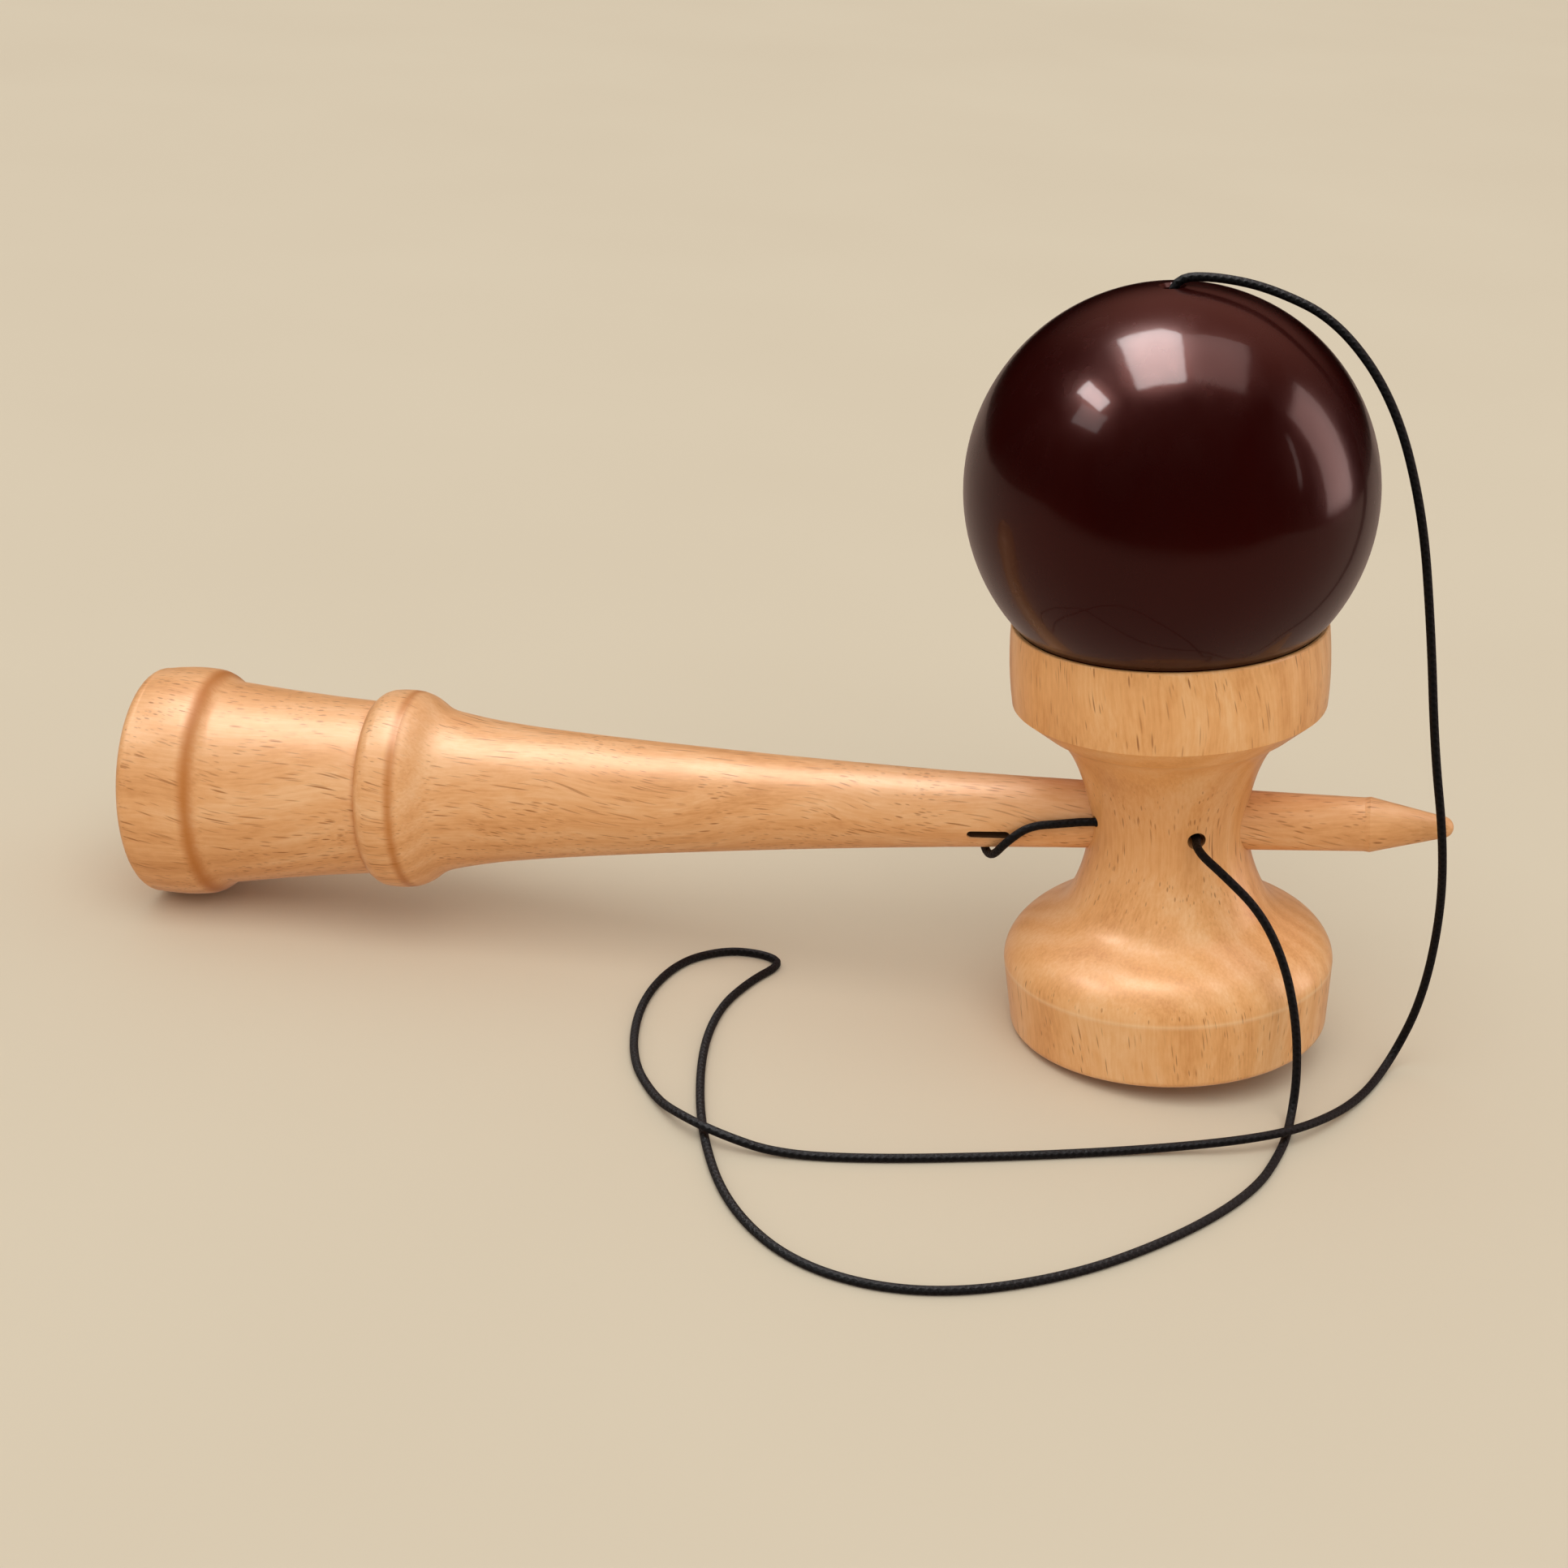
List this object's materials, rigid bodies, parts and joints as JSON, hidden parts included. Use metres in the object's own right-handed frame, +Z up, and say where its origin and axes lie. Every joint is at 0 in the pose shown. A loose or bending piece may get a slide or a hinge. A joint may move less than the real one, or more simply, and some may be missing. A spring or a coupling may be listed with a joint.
{
  "type": "kendama",
  "caption": "Wooden cup-and-ball toy: a turned handle with a spike and base cup, a cross piece with two cups, and a lacquered ball tied on by a thin string.",
  "frame": {"origin": "on the ground under the middle of the leaning handle's length; the ground is the plane that the collar of the base cup and the edge of the big cup rest on", "axes": "+X along the ground under the handle, from its base cup towards the spike's tip, which stands 6.5 degrees higher, +Z up, +Y to the side away from the string's side hole"},
  "size_m": [0.2063, 0.1161, 0.1199],
  "materials": {
    "beech_handle": "satin",
    "beech_cups": "satin",
    "ball_lacquer": "gloss",
    "bead_wood": "satin",
    "string": "matte"
  },
  "bodies": {
    "handle": {"ken": "beech_handle", "sarado": "beech_cups", "string_held": "string", "string_free": "string", "knot_ken": "string"},
    "string_end": {"bead": "bead_wood", "string_tail": "string", "knot_bead": "string"},
    "ball": {"tama": "ball_lacquer"}
  },
  "joints": [
    {"name": "tama_lift", "type": "slide", "parent": "handle", "child": "string_end", "axis": [0, 0, 1], "range_m": [0, 0.05], "deforming": ["string_free"]},
    {"name": "tama_spin", "type": "hinge", "parent": "string_end", "child": "ball", "pos_m": [0.05491, 0, 0.08722], "axis": [-0.1131, 0, 0.9936], "continuous": true}
  ]
}
